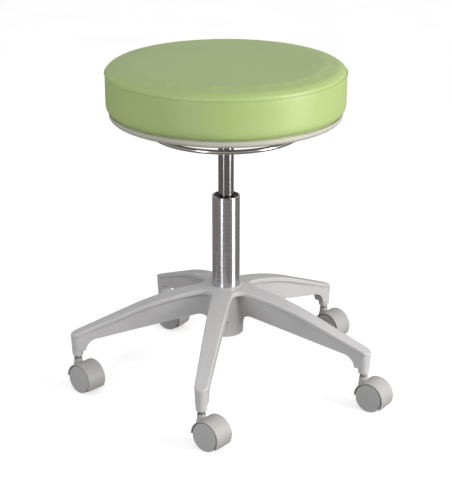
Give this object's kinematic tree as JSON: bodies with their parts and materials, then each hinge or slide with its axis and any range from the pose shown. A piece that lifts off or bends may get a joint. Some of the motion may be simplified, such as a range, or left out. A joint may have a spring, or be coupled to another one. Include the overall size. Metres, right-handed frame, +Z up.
{
  "type": "dentist stool",
  "caption": "Round cushioned stool on a gas lift column, with a height lever ring under the seat and a star base on swivelling twin-wheel casters.",
  "frame": {"origin": "on the floor, under the axis of the lift column", "axes": "+Z up along the column; -Y along the front arm of the star base; +X to the right of that arm"},
  "size_m": [0.5947, 0.5608, 0.6015],
  "materials": {
    "green_vinyl": "soft semi-gloss upholstery vinyl with a fine grain",
    "seat_foam": "open-cell polyurethane foam",
    "plywood": "plain plywood",
    "pan_plastic": "moulded, fine matt texture",
    "black_enamel": "black stoved enamel on pressed steel",
    "polished_steel": "polished rod",
    "chromed_steel": "ground and hard chromed",
    "brushed_steel": "brushed around the tube",
    "black_acetal": "turned plastic",
    "grey_nylon": "glass-filled nylon, moulded semi-gloss",
    "light_grey_nylon": "moulded",
    "grey_disc": "moulded, smooth",
    "dark_tread": "soft tread",
    "stem_steel": "plated steel",
    "zinc_steel": "bright zinc plated"
  },
  "bodies": {
    "base": {"star_base": "grey_nylon", "outer_column": "brushed_steel", "guide_bush": "black_acetal", "thrust_bearing": "zinc_steel", "grip_rings": "zinc_steel"},
    "spindle": {"piston_rod": "zinc_steel", "rod_clip": "zinc_steel"},
    "seat": {"seat_cover": "green_vinyl", "seat_foam": "seat_foam", "seat_board": "plywood", "seat_pan": "pan_plastic", "tee_nuts": "zinc_steel", "plate_bolts": "zinc_steel", "mechanism_plate": "black_enamel", "pivot_pin": "zinc_steel", "pressure_cylinder": "chromed_steel"},
    "release_pin": {"release_pin": "zinc_steel"},
    "lever": {"lever_ring": "polished_steel"},
    "caster_front": {"hood_front": "light_grey_nylon", "stem_front": "stem_steel", "axle_front": "zinc_steel"},
    "wheel_front_a": {"wheel_front_a": "dark_tread", "cap_front_a": "grey_disc"},
    "wheel_front_b": {"wheel_front_b": "dark_tread", "cap_front_b": "grey_disc"},
    "caster_right_front": {"hood_right_front": "light_grey_nylon", "stem_right_front": "stem_steel", "axle_right_front": "zinc_steel"},
    "wheel_right_front_a": {"wheel_right_front_a": "dark_tread", "cap_right_front_a": "grey_disc"},
    "wheel_right_front_b": {"wheel_right_front_b": "dark_tread", "cap_right_front_b": "grey_disc"},
    "caster_right_rear": {"hood_right_rear": "light_grey_nylon", "stem_right_rear": "stem_steel", "axle_right_rear": "zinc_steel"},
    "wheel_right_rear_a": {"wheel_right_rear_a": "dark_tread", "cap_right_rear_a": "grey_disc"},
    "wheel_right_rear_b": {"wheel_right_rear_b": "dark_tread", "cap_right_rear_b": "grey_disc"},
    "caster_left_rear": {"hood_left_rear": "light_grey_nylon", "stem_left_rear": "stem_steel", "axle_left_rear": "zinc_steel"},
    "wheel_left_rear_a": {"wheel_left_rear_a": "dark_tread", "cap_left_rear_a": "grey_disc"},
    "wheel_left_rear_b": {"wheel_left_rear_b": "dark_tread", "cap_left_rear_b": "grey_disc"},
    "caster_left_front": {"hood_left_front": "light_grey_nylon", "stem_left_front": "stem_steel", "axle_left_front": "zinc_steel"},
    "wheel_left_front_a": {"wheel_left_front_a": "dark_tread", "cap_left_front_a": "grey_disc"},
    "wheel_left_front_b": {"wheel_left_front_b": "dark_tread", "cap_left_front_b": "grey_disc"}
  },
  "joints": [
    {"name": "seat_swivel", "type": "hinge", "parent": "base", "child": "spindle", "pos_m": [0, 0, 0.1], "axis": [0, 0, 1], "continuous": true},
    {"name": "seat_height", "type": "slide", "parent": "spindle", "child": "seat", "axis": [0, 0, 1], "range_m": [-0.1, 0]},
    {"name": "lever_tilt", "type": "hinge", "parent": "seat", "child": "lever", "pos_m": [0, -0.03, 0.487], "axis": [-1, 0, 0], "range_deg": [0, 5], "stiffness_Nm_per_rad": 2, "springref_deg": -17.19},
    {"name": "valve_press", "type": "slide", "parent": "seat", "child": "release_pin", "axis": [0, 0, 1], "range_m": [-0.003, 0]},
    {"name": "caster_front_swivel", "type": "hinge", "parent": "base", "child": "caster_front", "pos_m": [0, -0.275, 0.08], "axis": [0, 0, 1], "continuous": true},
    {"name": "wheel_front_a_spin", "type": "hinge", "parent": "caster_front", "child": "wheel_front_a", "pos_m": [0.01862, -0.28575, 0.026], "axis": [0.5, 0.866, 0], "continuous": true},
    {"name": "wheel_front_b_spin", "type": "hinge", "parent": "caster_front", "child": "wheel_front_b", "pos_m": [0.01862, -0.28575, 0.026], "axis": [0.5, 0.866, 0], "continuous": true},
    {"name": "caster_right_front_swivel", "type": "hinge", "parent": "base", "child": "caster_right_front", "pos_m": [0.26154, -0.08498, 0.08], "axis": [0, 0, 1], "continuous": true},
    {"name": "wheel_right_front_a_spin", "type": "hinge", "parent": "caster_right_front", "child": "wheel_right_front_a", "pos_m": [0.28071, -0.09471, 0.026], "axis": [0.4524, 0.8918, 0], "continuous": true},
    {"name": "wheel_right_front_b_spin", "type": "hinge", "parent": "caster_right_front", "child": "wheel_right_front_b", "pos_m": [0.28071, -0.09471, 0.026], "axis": [0.4524, 0.8918, 0], "continuous": true},
    {"name": "caster_right_rear_swivel", "type": "hinge", "parent": "base", "child": "caster_right_rear", "pos_m": [0.16164, 0.22248, 0.08], "axis": [0, 0, 1], "continuous": true},
    {"name": "wheel_right_rear_a_spin", "type": "hinge", "parent": "caster_right_rear", "child": "wheel_right_rear_a", "pos_m": [0.17971, 0.21083, 0.026], "axis": [0.5417, 0.8406, 0], "continuous": true},
    {"name": "wheel_right_rear_b_spin", "type": "hinge", "parent": "caster_right_rear", "child": "wheel_right_rear_b", "pos_m": [0.17971, 0.21083, 0.026], "axis": [0.5417, 0.8406, 0], "continuous": true},
    {"name": "caster_left_rear_swivel", "type": "hinge", "parent": "base", "child": "caster_left_rear", "pos_m": [-0.16164, 0.22248, 0.08], "axis": [0, 0, 1], "continuous": true},
    {"name": "wheel_left_rear_a_spin", "type": "hinge", "parent": "caster_left_rear", "child": "wheel_left_rear_a", "pos_m": [-0.14178, 0.21425, 0.026], "axis": [0.3827, 0.9239, 0], "continuous": true},
    {"name": "wheel_left_rear_b_spin", "type": "hinge", "parent": "caster_left_rear", "child": "wheel_left_rear_b", "pos_m": [-0.14178, 0.21425, 0.026], "axis": [0.3827, 0.9239, 0], "continuous": true},
    {"name": "caster_left_front_swivel", "type": "hinge", "parent": "base", "child": "caster_left_front", "pos_m": [-0.26154, -0.08498, 0.08], "axis": [0, 0, 1], "continuous": true},
    {"name": "wheel_left_front_a_spin", "type": "hinge", "parent": "caster_left_front", "child": "wheel_left_front_a", "pos_m": [-0.24384, -0.09719, 0.026], "axis": [0.5678, 0.8231, 0], "continuous": true},
    {"name": "wheel_left_front_b_spin", "type": "hinge", "parent": "caster_left_front", "child": "wheel_left_front_b", "pos_m": [-0.24384, -0.09719, 0.026], "axis": [0.5678, 0.8231, 0], "continuous": true}
  ],
  "couplings": [
    {"joint": "valve_press", "follows": "lever_tilt", "m_per_rad": -0.03}
  ]
}
